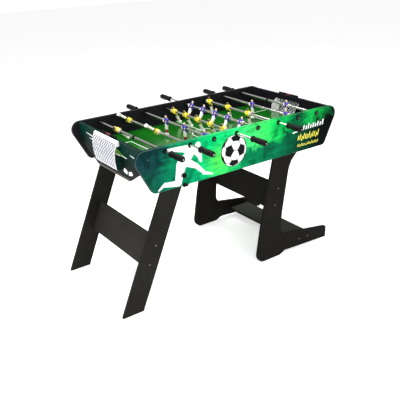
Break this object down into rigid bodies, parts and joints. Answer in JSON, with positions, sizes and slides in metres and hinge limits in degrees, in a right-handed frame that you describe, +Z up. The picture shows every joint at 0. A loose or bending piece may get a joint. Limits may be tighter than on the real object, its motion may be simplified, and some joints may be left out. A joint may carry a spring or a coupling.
{
  "type": "foosball table",
  "caption": "Folding table football game: open cabinet with sliding, spinning rods of men, a goal hood at each end, slanted folding legs and an L-shaped folding stand.",
  "frame": {"origin": "floor level, at the middle of the whole footprint including the handles", "axes": "+X along the table towards the L-shaped stand, +Y across it away from the printed front side, +Z up"},
  "size_m": [1.344, 1.06, 0.8175],
  "materials": {
    "black_board": "black laminate on MDF",
    "printed_board": "printed green laminate on MDF",
    "pitch": "printed green pitch, satin",
    "net_plastic": "white and grey net pattern",
    "steel": "bright chrome plate",
    "grip": "black moulded grip",
    "yellow_team": "yellow shirt, black shorts, white legs",
    "blue_team": "blue shirt, white shorts and legs, red socks"
  },
  "bodies": {
    "cabinet": {"end_panel_left": "printed_board", "end_panel_right": "printed_board", "goal_hood_left": "net_plastic", "goal_hood_right": "net_plastic", "playfield": "pitch", "side_panel_back": "black_board", "side_panel_front": "printed_board"},
    "left_legs": {"left_leg_back": "black_board", "left_leg_crossbar": "black_board", "left_leg_front": "black_board"},
    "stand": {"stand_crossbar": "black_board", "stand_foot_plank": "black_board", "stand_side_back": "black_board", "stand_side_front": "black_board"},
    "rod_1_bearing": {"rod_1_core": "steel"},
    "rod_1": {"rod_1_handle": "grip", "rod_1_man_1": "yellow_team", "rod_1_tube": "steel"},
    "rod_2_bearing": {"rod_2_core": "steel"},
    "rod_2": {"rod_2_handle": "grip", "rod_2_man_1": "yellow_team", "rod_2_man_2": "yellow_team", "rod_2_tube": "steel"},
    "rod_3_bearing": {"rod_3_core": "steel"},
    "rod_3": {"rod_3_handle": "grip", "rod_3_man_1": "blue_team", "rod_3_man_2": "blue_team", "rod_3_man_3": "blue_team", "rod_3_tube": "steel"},
    "rod_4_bearing": {"rod_4_core": "steel"},
    "rod_4": {"rod_4_handle": "grip", "rod_4_man_1": "yellow_team", "rod_4_man_2": "yellow_team", "rod_4_man_3": "yellow_team", "rod_4_man_4": "yellow_team", "rod_4_man_5": "yellow_team", "rod_4_tube": "steel"},
    "rod_5_bearing": {"rod_5_core": "steel"},
    "rod_5": {"rod_5_handle": "grip", "rod_5_man_1": "blue_team", "rod_5_man_2": "blue_team", "rod_5_man_3": "blue_team", "rod_5_man_4": "blue_team", "rod_5_man_5": "blue_team", "rod_5_tube": "steel"},
    "rod_6_bearing": {"rod_6_core": "steel"},
    "rod_6": {"rod_6_handle": "grip", "rod_6_man_1": "yellow_team", "rod_6_man_2": "yellow_team", "rod_6_man_3": "yellow_team", "rod_6_tube": "steel"},
    "rod_7_bearing": {"rod_7_core": "steel"},
    "rod_7": {"rod_7_handle": "grip", "rod_7_man_1": "blue_team", "rod_7_man_2": "blue_team", "rod_7_tube": "steel"},
    "rod_8_bearing": {"rod_8_core": "steel"},
    "rod_8": {"rod_8_handle": "grip", "rod_8_man_1": "blue_team", "rod_8_tube": "steel"}
  },
  "joints": [
    {"name": "stand_fold", "type": "hinge", "parent": "cabinet", "child": "stand", "pos_m": [0.452, -0.01, 0.625], "axis": [0, -1, 0], "range_deg": [0, 90]},
    {"name": "left_leg_fold", "type": "hinge", "parent": "cabinet", "child": "left_legs", "pos_m": [-0.324, -0.01, 0.636], "axis": [0, -1, 0], "range_deg": [0, 113.1]},
    {"name": "rod_1_spin", "type": "hinge", "parent": "cabinet", "child": "rod_1_bearing", "pos_m": [-0.41402, -0.01, 0.768], "axis": [0, 1, 0], "continuous": true},
    {"name": "rod_1_slide", "type": "slide", "parent": "rod_1_bearing", "child": "rod_1", "axis": [0, 1, 0], "range_m": [-0.2305, 0.0265]},
    {"name": "rod_2_spin", "type": "hinge", "parent": "cabinet", "child": "rod_2_bearing", "pos_m": [-0.28087, -0.01, 0.768], "axis": [0, 1, 0], "continuous": true},
    {"name": "rod_2_slide", "type": "slide", "parent": "rod_2_bearing", "child": "rod_2", "axis": [0, 1, 0], "range_m": [-0.225, 0.045]},
    {"name": "rod_3_spin", "type": "hinge", "parent": "cabinet", "child": "rod_3_bearing", "pos_m": [-0.14772, -0.01, 0.768], "axis": [0, 1, 0], "continuous": true},
    {"name": "rod_3_slide", "type": "slide", "parent": "rod_3_bearing", "child": "rod_3", "axis": [0, 1, 0], "range_m": [-0.0205, 0.1885]},
    {"name": "rod_4_spin", "type": "hinge", "parent": "cabinet", "child": "rod_4_bearing", "pos_m": [-0.01457, -0.01, 0.768], "axis": [0, 1, 0], "continuous": true},
    {"name": "rod_4_slide", "type": "slide", "parent": "rod_4_bearing", "child": "rod_4", "axis": [0, 1, 0], "range_m": [-0.0545, 0.0625]},
    {"name": "rod_5_spin", "type": "hinge", "parent": "cabinet", "child": "rod_5_bearing", "pos_m": [0.11857, -0.01, 0.768], "axis": [0, 1, 0], "continuous": true},
    {"name": "rod_5_slide", "type": "slide", "parent": "rod_5_bearing", "child": "rod_5", "axis": [0, 1, 0], "range_m": [-0.0825, 0.0345]},
    {"name": "rod_6_spin", "type": "hinge", "parent": "cabinet", "child": "rod_6_bearing", "pos_m": [0.25172, -0.01, 0.768], "axis": [0, 1, 0], "continuous": true},
    {"name": "rod_6_slide", "type": "slide", "parent": "rod_6_bearing", "child": "rod_6", "axis": [0, 1, 0], "range_m": [-0.1855, 0.0235]},
    {"name": "rod_7_spin", "type": "hinge", "parent": "cabinet", "child": "rod_7_bearing", "pos_m": [0.38488, -0.01, 0.768], "axis": [0, 1, 0], "continuous": true},
    {"name": "rod_7_slide", "type": "slide", "parent": "rod_7_bearing", "child": "rod_7", "axis": [0, 1, 0], "range_m": [-0.0365, 0.2335]},
    {"name": "rod_8_spin", "type": "hinge", "parent": "cabinet", "child": "rod_8_bearing", "pos_m": [0.51802, -0.01, 0.768], "axis": [0, 1, 0], "continuous": true},
    {"name": "rod_8_slide", "type": "slide", "parent": "rod_8_bearing", "child": "rod_8", "axis": [0, 1, 0], "range_m": [-0.0325, 0.2245]}
  ],
  "couplings": [
    {"joint": "left_leg_fold", "follows": "stand_fold", "ratio": 1.2567}
  ]
}
